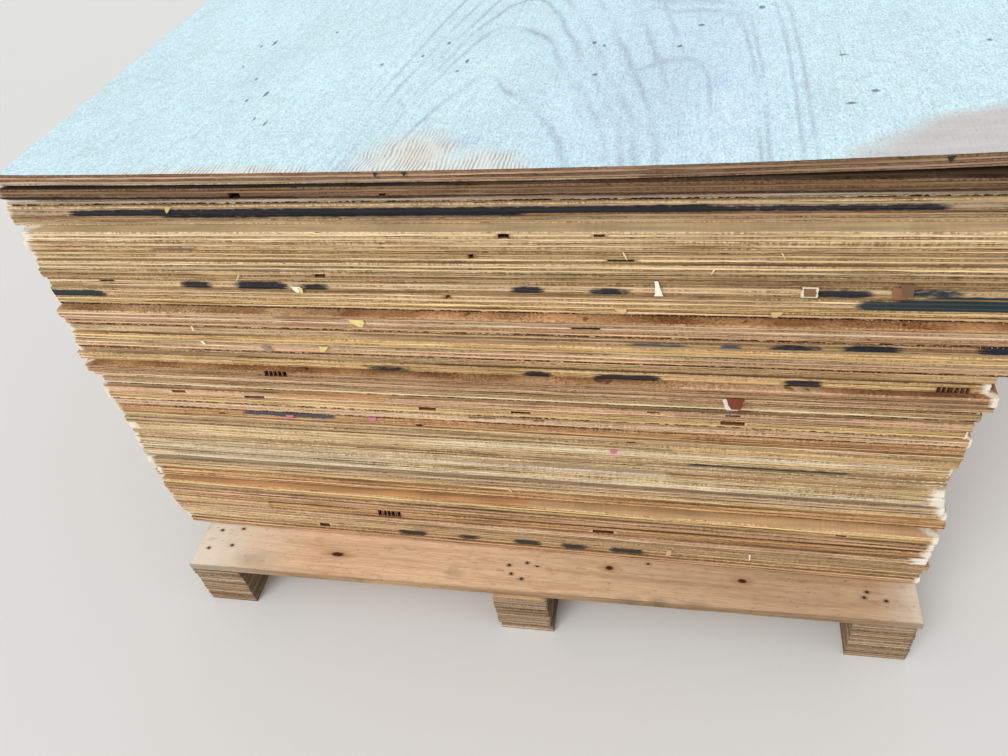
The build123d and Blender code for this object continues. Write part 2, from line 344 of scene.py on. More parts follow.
class PalletSettings(bpy.types.PropertyGroup):
    """Colours and nails of the pallet"""

    board: colour("Board", "Pine of the cross boards", "F8D3AC")
    board_grain: colour("Board grain", "Grain lines of the cross boards", "B27F4E")
    # Bleached, and lightened with painted light
    board_end: colour("Board end", "Bleached ends of the cross boards", "FAEEDC")
    knot: colour("Knot", "Knots in the cross boards", "52261A")
    smudge: colour("Smudge", "Dirt on the front board", "9B8A74")
    # Darkened with painted shade: the runners' ends lie under the cross boards
    runner: colour("Runner", "Ends of the runners' laminations", "A88E70")
    # Weathered grey, darkened with painted shade
    weathered_shaded_side: colour("Runner side", "Weathered sides of the runners", "7C6B58")
    head_radius: length("Nail head radius", "Radius of a nail's head", 2.6)
    head_height: length("Nail head height", "How thick a nail's head is", 1.4)


class StageSettings(bpy.types.PropertyGroup):
    """Floor, lights and camera"""

    floor: colour("Floor", "Plain floor", "E6E6E4")
    backdrop: colour("Backdrop", "What lies behind the floor", "F4F4F4")
    sky_light: amount("Sky light", "Strength of the even light", 0.65)
    lamp_light: amount("Lamp light", "Strength of the soft lamp", 1.42)
    lens: amount("Lens", "Focal length in mm on a 36 mm frame", 29.874)


def add_node(tree, kind, inputs=None, **settings):
    """Adds a node to a tree: inputs that are sockets are linked, and the others are set."""
    made = tree.nodes.new(kind)
    for name, value in settings.items():
        setattr(made, name, value)
    for name, value in (inputs or {}).items():
        if isinstance(value, bpy.types.NodeSocket):
            tree.links.new(value, made.inputs[name])
        else:
            made.inputs[name].default_value = value
    return made


class Finish:
    """One procedural material, made by short calls that add nodes. Its spots are placed from a corner."""

    def __init__(self, name, corner=(0.0, 0.0), turn=0.0):
        self.material = bpy.data.materials.new(name)
        self.material.use_nodes = True
        self.tree = self.material.node_tree
        self.shader = self.tree.nodes["Principled BSDF"]
        self.places = self.add("ShaderNodeTexCoord").outputs["Object"]
        self.corner = corner
        self.turn = turn

    def add(self, kind, inputs=None, **settings):
        return add_node(self.tree, kind, inputs, **settings)

    def spread(self, scale, shift=(0, 0, 0), turn=(0, 0, 0)):
        """Object coordinates, scaled apart along each axis."""
        inputs = {"Vector": self.places, "Scale": scale, "Location": shift, "Rotation": turn}
        return self.add("ShaderNodeMapping", inputs).outputs[0]

    def noise(self, scale, detail=2.0, shift=(0, 0, 0), distortion=0.0, turn=(0, 0, 0)):
        """Noise with this many features to the metre along each axis."""
        places = self.spread(scale, shift, turn)
        inputs = {"Vector": places, "Scale": 1.0, "Detail": detail, "Distortion": distortion}
        return self.add("ShaderNodeTexNoise", inputs).outputs["Fac"]

    def between(self, value, low, high, first=0.0, last=1.0):
        """Value brought from low…high to first…last, and held at the ends."""
        inputs = {"Value": value, "From Min": low, "From Max": high, "To Min": first, "To Max": last}
        return self.add("ShaderNodeMapRange", inputs).outputs[0]

    def swing(self, scale, first, last, low=0.3, high=0.7, detail=2.0, shift=(0, 0, 0)):
        """Noise brought from low…high to first…last."""
        return self.between(self.noise(scale, detail, shift), low, high, first, last)

    def math(self, operation, first, second=0.0, third=0.0):
        return self.add("ShaderNodeMath", {0: first, 1: second, 2: third}, operation=operation).outputs[0]

    def product(self, *values):
        """Plain numbers multiplied together."""
        total = values[0]
        for value in values[1:]:
            total = self.math("MULTIPLY", total, value)
        return total

    def blend(self, value, strength, start):
        """A value, weakened or strengthened, added to another."""
        return self.math("MULTIPLY_ADD", value, strength, start)

    def mix(self, share, first, second, blend="MIX"):
        """Second colour laid over the first."""
        first, second = (c if isinstance(c, bpy.types.NodeSocket) else (*c, 1) for c in (first, second))
        inputs = {0: share, 6: first, 7: second}
        return self.add("ShaderNodeMix", inputs, data_type="RGBA", blend_type=blend).outputs[2]

    def tinted(self, base, red, green, blue):
        """Colour multiplied by three plain numbers."""
        tint = self.add("ShaderNodeCombineColor", {0: red, 1: green, 2: blue}).outputs[0]
        return self.mix(1.0, base, tint, "MULTIPLY")

    def shade(self, base, *values):
        """Colour made darker or lighter by plain numbers, one after the other."""
        for value in values:
            base = self.tinted(base, value, value, value)
        return base

    def toned(self, base, value):
        """Colour made darker and redder, or lighter and paler, by a plain number."""
        value = self.math("MINIMUM", value, 1.25)
        return self.tinted(base, value, *(self.math("POWER", value, strength) for strength in WARMTH[1:]))

    def attribute(self, name, output="Color"):
        return self.add("ShaderNodeAttribute", attribute_name=name).outputs[output]

    def from_corner(self):
        """Distances from the corner, along X and along Y."""
        moved = self.spread((1, 1, 1), (-self.corner[0], -self.corner[1], 0))
        return self.add("ShaderNodeSeparateXYZ", {0: moved}).outputs[:2]

    def reach(self, along, back, half_length, half_width):
        """How far out from a spot's middle a point is: 0 there, 1 at its rim. Given in mm from the corner."""
        cos, sin = math.cos(self.turn), math.sin(self.turn)
        x = self.corner[0] + (along * cos - back * sin) * MM
        y = self.corner[1] + (along * sin + back * cos) * MM
        half_length, half_width = half_length * MM, half_width * MM
        stretched = self.spread((1 / half_length, 1 / half_width, 0), (-x / half_length, -y / half_width, 0))
        return self.add("ShaderNodeVectorMath", {0: stretched}, operation="LENGTH").outputs["Value"]

    def spot(self, *place):
        """How near a point is to a spot's middle: 1 there and 0 at its rim."""
        return self.between(self.reach(*place), 0.0, 1.0, 1.0, 0.0)

    def painted(self, base):
        """The piece's paint marks over the colour, feathered along level streaks."""
        marks = self.add("ShaderNodeAttribute", attribute_name="paint").outputs
        feather = self.math("SUBTRACT", self.noise((90, 90, 420), 4.0, (8, 3, 2)), 0.5)
        cover = self.between(self.blend(feather, 1.1, marks["Alpha"]), 0.05, 0.62)
        present = self.math("MINIMUM", self.product(marks["Alpha"], 3.0), 0.95)
        return self.mix(self.product(cover, present), base, marks["Color"])

    def chalky(self, base):
        """Near-white fibres, which alone hold much blue, show little of the grain: bleached and bruised
        fibres, and the corners' painted sunlight.
        """
        wood = self.attribute("wood")
        blue = self.add("ShaderNodeSeparateColor", {0: wood}).outputs[2]
        return self.mix(self.between(blue, 0.42, 0.62, 0.0, 0.8), base, wood)

    def glue_lines(self, base):
        """Thin reddish lines between the plies, frayed by the saw and broken in places."""
        frayed = self.attribute("wood", "Alpha")
        frayed = self.blend(self.noise((230, 230, 230), 2.0), 0.2, frayed)
        frayed = self.blend(self.noise((40, 40, 40), 2.0, (3, 3, 3)), 0.3, frayed)
        apart = self.math("PINGPONG", self.math("SUBTRACT", frayed, 0.25), 0.5)
        kept = self.swing((9, 9, 330), 0.15, 0.95, 0.4, 0.6, shift=(6, 6, 1))
        line = self.product(self.between(apart, 0.05, 0.19, 1.0, 0.0), kept)
        return self.mix(line, base, self.mix(1.0, base, GLUE_TINT, "MULTIPLY"))

    def sawn_edge(self, lightness, roughness, relief, depth):
        """Edge of a sheet: its plies' own wood, with glue lines, bleached fibres and paint."""
        base = self.toned(self.attribute("wood"), lightness)
        return self.close(self.painted(self.chalky(self.glue_lines(base))), roughness, relief, depth)

    def close(self, base, roughness, relief=None, depth=0.0):
        """Colour, roughness and relief go to the shader."""
        self.tree.links.new(base, self.shader.inputs["Base Color"])
        self.shader.inputs["Roughness"].default_value = roughness
        self.shader.inputs["Specular IOR Level"].default_value = 0.25
        if relief is not None:
            bump = self.add("ShaderNodeBump", {"Height": relief, "Distance": depth, "Strength": 1.0})
            self.tree.links.new(bump.outputs[0], self.shader.inputs["Normal"])
        return self.material


def long_grain():
    """Plies sawn along their grain: long level streaks, thin dark cracks and pale raised fibres."""
    wood = Finish("long_grain")
    streaks = wood.noise((6, 6, 430), 3.0)
    lightness = wood.product(
        wood.between(streaks, 0.34, 0.66, 0.78, 1.18),
        wood.swing((10, 10, 900), 0.84, 1.14, shift=(1, 3, 0)),
        wood.swing((3, 3, 90), 0.84, 1.14, shift=(4, 1, 0)),
        wood.swing((180, 180, 420), 0.92, 1.07, shift=(0, 4, 4)),
        wood.swing((7, 7, 560), 1.0, 0.3, 0.63, 0.68, shift=(7, 2, 4)),
        wood.swing((9, 9, 640), 1.0, 1.3, 0.6, 0.66, shift=(2, 9, 4)),
    )
    return wood.sawn_edge(lightness, roughness=0.8, relief=streaks, depth=0.0006)


def end_grain():
    """Plies sawn across their grain: rough, with dark pores and short leaning saw marks."""
    wood = Finish("end_grain")
    dots = wood.noise((240, 240, 480), 3.0)
    marks = wood.between(wood.noise((330, 330, 60), turn=(0.4, 0.4, 0)), 0.38, 0.62, -0.3, 0.3)
    ticks = wood.blend(marks, wood.swing((14, 14, 160), 0.0, 1.0, 0.4, 0.6, shift=(9, 5, 0)), 1.0)
    lightness = wood.product(
        wood.between(dots, 0.3, 0.7, 0.76, 1.22),
        ticks,
        wood.swing((6, 6, 420), 0.72, 1.22, shift=(2, 5, 0)),
        wood.swing((18, 18, 80), 0.84, 1.14, shift=(5, 5, 3)),
        wood.swing((60, 60, 600), 1.0, 0.42, 0.66, 0.72, 1.0, (6, 1, 3)),
    )
    return wood.sawn_edge(lightness, roughness=0.9, relief=wood.math("ADD", dots, ticks), depth=0.0007)


def face_veneer():
    """Faces inside the pile: wood grain that runs from front to back, with level smudges."""
    wood = Finish("face_veneer")
    grain = wood.noise((240, 5, 1), 3.0)
    base = wood.shade(
        wood.attribute("wood"),
        wood.between(grain, 0.25, 0.75, 0.92, 1.06),
        wood.swing((9, 160, 1), 0.8, 1.14, detail=3.0, shift=(2, 4, 0)),
        wood.swing((12, 3, 1), 0.86, 1.1, shift=(1, 6, 0)),
    )
    return wood.close(base, roughness=0.8, relief=grain, depth=0.0003)


def grain_lines(wood, field, levels, steepness, width):
    """Thin lines where a field that grows along the grain passes these levels."""
    nearest = 1.0
    for level in levels:
        gap = wood.math("ABSOLUTE", wood.math("SUBTRACT", field, level))
        nearest = wood.math("MINIMUM", nearest, gap)
    return wood.between(wood.math("DIVIDE", nearest, steepness), 0.0, width, 1.0, 0.0)


def arched_grain(wood):
    """How strongly a grain line shows on the top face, which has two arches of heartwood. In metres."""
    across, along = wood.from_corner()
    deep = wood.math("ADD", along, wood.swing((6, 3, 1), -0.11, 0.11, 0.0, 1.0, 3.0))
    # Left arch: a parabola, steeper on its left side
    middle, steeper_left, bend = 0.59, -1.55, 13.5
    aside = wood.math("SUBTRACT", across, middle)
    aside = wood.math("MAXIMUM", aside, wood.product(aside, steeper_left))
    arch = wood.blend(wood.product(aside, aside), bend, deep)
    levels = (0.246, 0.427, 0.50, 0.57, 0.69, 0.86, 1.06, 1.3, 1.6, 1.95, 2.3)
    lines = grain_lines(wood, arch, levels, steepness=wood.blend(aside, 24.0, 1.0), width=0.0065)
    left_lines = wood.product(lines, wood.between(aside, 0.19, 0.27, 1.0, 0.0))
    # Right arch: broad, with legs that run straight to the front
    middle, half_width, depth, squareness = 0.80, 0.12, 0.456, 4.0
    aside = wood.math("ABSOLUTE", wood.math("SUBTRACT", across, middle))
    aside = wood.math("POWER", wood.math("DIVIDE", aside, half_width), squareness)
    away = wood.math("ABSOLUTE", wood.math("DIVIDE", deep, depth))
    dome = wood.math("ADD", aside, wood.math("POWER", away, squareness))
    dome = wood.math("POWER", dome, 1 / squareness)
    lines = grain_lines(wood, dome, (0.55, 0.98, 1.05, 1.32, 1.43), steepness=1.0, width=0.034)
    right_lines = wood.product(lines, wood.between(across, 0.74, 0.78), 0.8)
    fade = wood.swing((16, 7, 1), 0.15, 1.0, 0.38, 0.6, 3.0, (3, 8, 0))
    return wood.product(wood.math("MAXIMUM", left_lines, right_lines), fade)


def torn_patch(wood, settings):
    """Torn skin in upright ridges of cream fibre: where it is, how gouged it is, and its colour."""
    bend = wood.noise((26, 22, 1), 3.0, (0, 3, 0))
    lined = wood.noise((60, 30, 1), 3.0, (7, 3, 0))
    phase = wood.blend(bend, 22.0, wood.product(wood.from_corner()[0], 2 * math.pi / RIDGE_PITCH))
    ridges = wood.between(wood.math("SINE", phase), 0.15, 0.85)
    torn = 0.0
    for patch in TORN_PATCHES:
        near = wood.blend(lined, 0.5, wood.spot(*patch))
        torn = wood.math("MAXIMUM", torn, wood.between(wood.blend(ridges, 0.12, near), 0.34, 0.8))
    heart = wood.between(wood.blend(lined, 0.6, wood.spot(*TORN_HEART)), 0.5, 0.9, 0.0, 0.28)
    gouged = wood.product(ridges, wood.between(lined, 0.35, 0.6, 0.15, 0.62))
    fibres = wood.mix(gouged, wood.mix(heart, settings.torn, settings.cream), settings.torn_line)
    return torn, gouged, fibres


def weathered_face(settings):
    """Top sheet's face: bleached veneer made paler and bluer with painted sky light, with arched grain,
    specks, a torn patch and a bare one.
    """
    wood = Finish("weathered_face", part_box(SHEETS[-1])[0][:2])
    # Painted sky light: the base colour holds the top's brightness and blue cast
    base = settings.weathered_and_skylit
    for *place, share in WASHES:
        base = wood.mix(wood.product(wood.spot(*place), share), base, settings.wash)
    line = arched_grain(wood)
    base = wood.mix(wood.product(line, 0.62), base, settings.weathered_line)
    streaks = wood.noise((210, 16, 1), 3.0)
    clouds = wood.noise((11, 5, 1), 4.0, (5, 5, 0))
    mottle = wood.noise((95, 60, 1), 3.0, (2, 7, 0))
    base = wood.shade(
        base,
        wood.between(streaks, 0.3, 0.7, 0.96, 1.04),
        wood.between(clouds, 0.3, 0.7, 0.95, 1.04),
        wood.between(mottle, 0.35, 0.65, 1.04, 0.95),
        wood.swing((420, 210, 1), 0.8, 1.13, 0.32, 0.68, 3.0, (4, 2, 0)),
    )
    checks = wood.swing((190, 7, 1), 0.0, 0.25, 0.72, 0.78, shift=(1, 2, 0))
    pits = wood.swing((330, 120, 1), 0.0, 0.28, 0.68, 0.76, 1.0, (9, 4, 0))
    dark = wood.math("MAXIMUM", checks, pits)
    base = wood.mix(dark, base, settings.drift)
    bare = wood.between(wood.blend(clouds, 0.35, wood.spot(*BARE_PATCH)), 0.32, 0.46, 0.0, 0.85)
    level = wood.swing((9, 150, 1), 0.92, 1.06, detail=3.0, shift=(4, 4, 0))
    base = wood.mix(bare, base, wood.shade(settings.bare, level))
    torn, gouged, fibres = torn_patch(wood, settings)
    base = wood.mix(wood.product(torn, 0.85), base, fibres)
    nearest = 9.0
    for place in SPECKS:
        nearest = wood.math("MINIMUM", nearest, wood.reach(*place))
    speck = wood.between(wood.blend(mottle, 1.5, nearest), 1.1, 1.6, 0.75, 0.0)
    base = wood.mix(speck, base, settings.slate)
    relief = wood.blend(dark, -2.0, streaks)
    relief = wood.blend(wood.product(torn, gouged), -1.4, relief)
    return wood.close(base, roughness=0.75, relief=wood.blend(line, -0.5, relief), depth=0.0008)


def pine_board(settings):
    """Cross boards: smooth pine with faint grain, bleached ends lightened with painted light, painted shade
    towards the right end, knots, smudges and grime round the nails.
    """
    first, right = corners_of(BOARDS[0])[:2]
    wood = Finish("pine_board", first, math.atan2(right[1] - first[1], right[0] - first[0]))
    across = wood.from_corner()[0]
    grain = wood.noise((4, 120, 120), 3.0, distortion=0.5)
    base = wood.mix(wood.between(grain, 0.45, 0.8, 0.0, 0.5), settings.board, settings.board_grain)
    base = wood.shade(base, wood.swing((2.2, 22, 22), 0.92, 1.06, shift=(3, 0, 0)))
    base = wood.toned(base, wood.swing((36, 520, 520), 0.86, 1.1, detail=3.0, shift=(5, 1, 0)))
    # Painted light: the board grows darker towards its right end
    base = wood.shade(base, wood.between(across, 0.45, 1.0, 1.03, 0.7))
    blot = wood.noise((38, 30, 30), 3.0)
    # Pale ends: bleached wood and painted light
    for start, full, cover in BLEACHED_AND_LIT_ENDS:
        near = wood.between(across, start, full)
        share = wood.product(wood.blend(blot, 1.2, near), near)
        base = wood.mix(wood.between(share, 0.1, 1.2, 0.0, cover), base, settings.board_end)
    pores = wood.swing((110, 300, 300), 1.0, 0.62, 0.67, 0.74, shift=(6, 6, 0))
    scuffs = wood.swing((46, 110, 110), 1.0, 0.84, 0.58, 0.72, 4.0, (2, 6, 0))
    base = wood.toned(base, wood.product(pores, scuffs))
    for along, back, half_length, half_width in KNOTS:
        halo = wood.spot(along, back, 2.4 * half_length, 1.2 * half_width)
        base = wood.mix(wood.between(halo, 0.0, 0.8, 0.0, 0.75), base, settings.board_grain)
        heart = wood.blend(blot, 0.5, wood.spot(along, back, half_length, 0.75 * half_width))
        base = wood.mix(wood.between(heart, 0.42, 0.75), base, settings.knot)
    for smudge in SMUDGES:
        share = wood.between(wood.product(wood.spot(*smudge), blot), 0.1, 0.5, 0.0, 0.5)
        base = wood.mix(share, base, settings.smudge)
    for along, back in NAILS:
        stain = wood.spot(along, back, *NAIL_STAIN)
        base = wood.mix(wood.between(stain, 0.0, 0.7, 0.0, 0.7), base, settings.knot)
    # The sawn edges, which the mesh makes darker, are lined
    edge = wood.attribute("wood")
    sawn = wood.between(wood.add("ShaderNodeSeparateColor", {0: edge}).outputs[0], 0.7, 0.95, 1.0, 0.0)
    lines = wood.swing((7, 7, 420), -0.3, 0.12, 0.35, 0.65, 3.0, (2, 2, 5))
    base = wood.shade(wood.mix(1.0, base, edge, "MULTIPLY"), wood.blend(lines, sawn, 1.0))
    return wood.close(base, roughness=0.7, relief=grain, depth=0.0004)


def nail_metal():
    """Nail heads: dark rusted steel."""
    metal = Finish("nail_metal")
    rust = metal.noise((700, 700, 700), 3.0)
    base = metal.mix(metal.between(rust, 0.4, 0.6), NAIL_STEEL, NAIL_RUST)
    return metal.close(base, roughness=0.6, relief=rust, depth=0.0003)


def splinter_wood(settings):
    """Splinters: pale wood, from cream to tan."""
    fibre = Finish("torn_fibre")
    tone = fibre.noise((90, 90, 90), 2.0)
    return fibre.close(fibre.mix(tone, settings.cream, settings.tan), roughness=0.85)


def plain_floor(tint):
    """Floor: pale and even."""
    floor = Finish("plain_floor")
    base = floor.shade(tint, floor.swing((0.8, 0.8, 0.8), 0.99, 1.01, 0.0, 1.0))
    return floor.close(base, roughness=0.9)


def corners_of(node):
    """Corners of a node: front left, front right, back right, back left."""
    if node in CURLED:
        low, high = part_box(node)
        return np.array([(low.x, low.y), (high.x, low.y), (high.x, high.y), (low.x, high.y)])
    heights = [v.co.z for v in nodes[node].data.vertices]
    return outline_at(node, (min(heights) + max(heights)) / 2)


def outline_at(node, height):
    """Corners of the outline where a node is cut at this height."""
    mesh = nodes[node].data
    mesh.calc_loop_triangles()
    points = np.array([v.co for v in mesh.vertices])
    found = []
    for triangle in mesh.loop_triangles:
        a, b, c = points[list(triangle.vertices)]
        for start, end in ((a, b), (b, c), (c, a)):
            if (start[2] - height) * (end[2] - height) < 0:
                found.append((start + (end - start) * (height - start[2]) / (end[2] - start[2]))[:2])
    found = np.array(found)
    x, y = found.T
    return found[[np.argmin(x + y), np.argmax(x - y), np.argmax(x + y), np.argmin(x - y)]]


def size_of(corners):
    """Width and depth of an outline."""
    return np.linalg.norm(corners[1] - corners[0]), np.linalg.norm(corners[3] - corners[0])


def end_profile(node, back):
    """Underside of a curled sheet's front or back end: shares of its width, and heights there."""
    points = np.array([v.co for v in nodes[node].data.vertices])
    edge = points[:, 1].max() if back else points[:, 1].min()
    points = points[np.abs(points[:, 1] - edge) < MM]
    places = np.unique(np.round(points[:, 0], 5))
    heights = [points[np.abs(points[:, 0] - x) < 0.01 * MM, 2].min() for x in places]
    return (places - places[0]) / (places[-1] - places[0]), np.array(heights)


def curled_underside(node):
    """Height of a curled sheet's underside at shares of its width and length."""
    front, back = end_profile(node, False), end_profile(node, True)
    return lambda across, along: (1 - along) * np.interp(across, *front) + along * np.interp(across, *back)


def level_underside(height):
    return lambda across, along: 0 * across + height


def ripple(rng, places, wavelength):
    """Smooth random swing about zero along these places."""
    knots = np.arange(places.min(), places.max() + 2 * wavelength, wavelength)
    return np.interp(places, knots, rng.standard_normal(len(knots)))


def steps(distance, step):
    return np.linspace(0.0, distance, max(2, round(distance / step) + 1))


def edge_rings(plies, thickness, arris, rim, glue_line, torn=False):
    """Rings of points round a board's edge, from below: (share of the thickness, ply, inset)."""
    soft = arris / thickness
    glue = glue_line / thickness / 2
    rings = [(0.0, 0, rim), (0.0, 0, arris)]
    if torn:
        rings.append((soft, 0, 0.0))
    for ply in range(plies):
        low = soft if ply == 0 else ply / plies + glue
        high = 1 - soft if ply == plies - 1 else (ply + 1) / plies - glue
        rings += [(low, ply, 0.0), (high, ply, 0.0)]
    return rings + [(1.0, plies - 1, arris), (1.0, plies - 1, rim)]


class Board:
    """A sheet, lamination or plank: points in rings round its edge, closed by its two faces."""

    def __init__(self, corners, thickness, underside, front, back, side, rings):
        """The rings' points stand at these distances along the front, the back and the two sides."""
        self.corners = corners
        self.thickness = thickness
        self.underside = underside
        self.width, self.length = size_of(corners)
        self.sides = (len(front) - 1, len(side) - 1, len(back) - 1, len(side) - 1)
        ends = (
            (front, 0 * front), (0 * side + self.width, side),
            (back[::-1], 0 * back + self.length), (0 * side, side[::-1]),
        )
        self.across = np.concatenate([a[:-1] for a, b in ends])
        self.along = np.concatenate([b[:-1] for a, b in ends])
        self.side_of = np.repeat(np.arange(4), self.sides)
        outwards = np.array([(0, -1), (1, 0), (0, 1), (-1, 0)], float)
        self.out = outwards[self.side_of]
        for k, start in enumerate(np.cumsum((0, *self.sides[:-1]))):
            self.out[start] += outwards[k - 1]
        between = np.hypot(np.diff(self.across), np.diff(self.along))
        self.distance = np.concatenate(([0.0], np.cumsum(between)))
        self.front = slice(0, self.sides[0] + 1)
        share, ply, inset = (np.array(column) for column in zip(*rings))
        self.ply = ply
        self.share = np.repeat(share[:, None], self.count, 1)
        self.inset = np.repeat(inset[:, None], self.count, 1)
        self.level = self.share.copy()
        self.shift = 0 * self.share
        self.tone = 1 + self.shift
        self.cover = self.shift.copy()
        self.tint = np.zeros((*self.share.shape, 3))
        self.mark = np.zeros((*self.share.shape, 4))

    @property
    def count(self):
        """Points in a ring."""
        return len(self.across)

    def coat(self, plies, glue, top, rough_rim=False, curled=False):
        """Takes the plies' and the top's colours, the glue lines' tones, and if the rim is rough sawn."""
        self.plies = plies
        self.glue = glue
        self.top = top
        self.rough_rim = rough_rim
        self.curled = curled
        return self

    def wear(self, rng, depth, swing):
        """Each ply's edge lies a little further in or out, and waves; the tone drifts along it."""
        for ply in np.unique(self.ply):
            rings = np.flatnonzero((self.ply == ply) & (self.inset[:, 0] < WIDEST_ARRIS * MM))
            push = depth * (rng.random() + 0.35 * np.abs(ripple(rng, self.distance, 0.09)))
            fine = 0.18 * depth * np.abs(rng.standard_normal(self.count))
            drift = 1 + swing * ripple(rng, self.distance, 0.2)
            drift += 0.5 * swing * ripple(rng, self.distance, 0.04)
            self.inset[rings] += push + fine
            self.tone[rings] *= np.clip(drift, 0.5, 1.4)

    def sway(self, rng, height):
        """The lines between the plies rise and fall a little on their way round."""
        for ring in range(3 + len(self.ply) % 2, len(self.ply) - 3, 2):
            swing = ripple(rng, self.distance, 0.045) + 0.6 * ripple(rng, self.distance, 0.012)
            self.share[ring:ring + 2] += np.clip(swing, -1.6, 1.6) * height / self.thickness

    def seam_dirt_and_shade(self, rng, darkness):
        """The rubbed corners are darkened, more in some places than in others: grime, and painted shade in
        the groove between two boards.
        """
        for ring in (1, len(self.ply) - 2):
            dirt_and_shade = darkness + 0.22 * ripple(rng, self.distance, 0.12)
            dirt_and_shade += 0.1 * ripple(rng, self.distance, 0.015)
            self.tone[ring] *= 1 - np.clip(dirt_and_shade, 0.05, 0.85)

    def margin(self, shade):
        """The face grows darker from its edge to where the next board covers it: grime, and painted shade
        under that board.
        """
        self.tone[-2] = 1.0
        self.tone[-1] = shade

    def shade_towards_right(self, first, last):
        """Painted light: the front edge grows darker from left to right."""
        self.tone[1:, self.front] *= np.interp(self.across[self.front], [0, self.width], [first, last])

    def tinge(self, low, high, start, end, tint, cover, fade=9 * MM):
        """Another wood colour over some plies of the front edge."""
        place = self.across[self.front]
        near = np.clip(np.minimum(place - start, end - place) / fade + 0.5, 0, 1) * cover
        for ring in np.flatnonzero((self.ply >= low) & (self.ply <= high)):
            tints = self.tint[ring, self.front]
            self.tint[ring, self.front] = np.where(near[:, None] > 0.01, tint, tints)
            self.cover[ring, self.front] = np.maximum(self.cover[ring, self.front], near)

    def paint(self, low, high, start, end, tint, cover, spill=5 * MM, fade=20 * MM, around=25 * MM):
        """Paint on the front edge between two heights in plies, thinner towards its ends."""
        place = self.across[self.front]
        start, end = start - spill, end + spill
        near = np.clip(np.minimum(place - start, end - place) / min(fade, (end - start) / 2.1), 0, 1)
        half = (high - low) / 2 * np.sqrt(near * (2 - near))
        tinted = (place > start - around) & (place < end + around)
        for ring in range(1, len(self.ply) - 1):
            off = np.abs(self.level[ring, self.front] * (self.ply.max() + 1) - (low + high) / 2)
            part = np.clip((half + 0.9 - off) / 1.3, 0, 1) * near ** 0.6 * cover
            mark = self.mark[ring, self.front]
            mark[tinted, :3] = tint
            mark[:, 3] = np.maximum(mark[:, 3], part)

    def hollow(self, low, high, start, end, depth, inside, rim, lean, rim_width=2.5 * MM):
        """A gap in the plies that opens on the front edge, with a rim of another colour; its inside takes the
        inside colour, which for a deep gap is painted shade.
        """
        place = self.across[self.front]
        open_here = np.flatnonzero((place > start) & (place < end))
        around = np.flatnonzero((place > start - rim_width) & (place < end + rim_width))
        middle = (low + high + 1) / 2 / (self.ply.max() + 1)
        for ring in range(2, len(self.ply) - 2):
            if low <= self.ply[ring] <= high:
                self.tint[ring, around] = rim
                self.cover[ring, around] = 0.7
                self.inset[ring, open_here] += depth
                self.shift[ring, open_here] = lean * (self.level[ring, open_here] - middle) * self.thickness
                self.tint[ring, open_here] = inside
                self.cover[ring, open_here] = 1.0

    def tear(self, rng, least, drop, depth, shadow, fibre):
        """The lower front edge is torn off in small teeth: a dark uneven line, painted shadow under the torn
        lip over dark red glue, with pale fibres above it.
        """
        inner = slice(1, self.sides[0])
        place = self.across[inner]
        bites = 0.8 + 0.42 * ripple(rng, place, 0.003) + 0.3 * ripple(rng, place, 0.009)
        bites = np.clip(bites * (0.9 + 0.4 * ripple(rng, place, 0.07)), 0.1, 1.4)
        top = np.clip((least + drop * bites) / self.thickness, 0.02, 0.17)
        self.share[2, inner] = top
        self.share[3, inner] = top + 0.15 * MM / self.thickness
        self.inset[1:3, inner] = self.inset[2, inner] + depth
        self.tint[1:3, inner] = shadow
        self.cover[1:3, inner] = np.clip(0.55 + 0.5 * bites, 0, 0.95)
        pale = np.clip(1.3 * ripple(rng, place, 0.006), 0, 0.8)
        self.tint[3, inner] = np.where(pale[:, None] > 0, fibre, self.tint[3, inner])
        self.cover[3, inner] = np.maximum(self.cover[3, inner], pale)

    def crush(self, rng, right, reach, depth, tint):
        """A front corner is bruised or broken off, its fibres painted near white: pale bruised wood, with
        painted sunlight on the corner.
        """
        apart = np.abs(self.distance - self.distance[self.sides[0] if right else 0])
        apart = np.minimum(apart, self.distance[-1] - apart)
        near = np.clip(1 - apart / reach, 0, 1)
        for ring in range(1, len(self.ply)):
            self.inset[ring] += near ** 2 * depth * (0.3 + 0.7 * rng.random())
            share = np.clip(3 * near * (1 + 1.6 * rng.random()) - 0.8, 0, 0.97)
            self.tint[ring] = np.where(near[:, None] > 0, tint, self.tint[ring])
            self.cover[ring] = np.maximum(self.cover[ring], share)

    def thin(self):
        """Every second point of the back edge is left out: a coarser line does there."""
        start = self.sides[0] + self.sides[1]
        spare = np.arange(start + 1, start + self.sides[2], 2)
        for name in ("across", "along", "distance", "side_of", "out"):
            setattr(self, name, np.delete(getattr(self, name), spare, 0))
        for name in ("inset", "share", "level", "shift", "tone", "tint", "cover", "mark"):
            setattr(self, name, np.delete(getattr(self, name), spare, 1))
        self.sides = (*self.sides[:2], self.sides[2] - len(spare), self.sides[3])

    def points(self):
        """Every point's place. The two faces' inner rings shrink evenly, so they never fold at a corner."""
        inset = self.inset.copy()
        inset[0] = np.maximum(inset[0], inset[1] + 0.5 * MM)
        inset[-1] = np.maximum(inset[-1], inset[-2] + 0.5 * MM)
        x = self.across - self.out[:, 0] * inset
        y = self.along - self.out[:, 1] * inset
        for ring in (0, -1):
            x[ring] = inset[ring] + self.across * (1 - 2 * inset[ring] / self.width)
            y[ring] = inset[ring] + self.along * (1 - 2 * inset[ring] / self.length)
        x += self.shift
        first, right, _, back = self.corners
        x, y = x / self.width, y / self.length
        flat = first + x[..., None] * (right - first) + y[..., None] * (back - first)
        height = self.underside(x, y) + self.share * self.thickness
        return np.concatenate((flat, height[..., None]), 2).reshape(-1, 3)

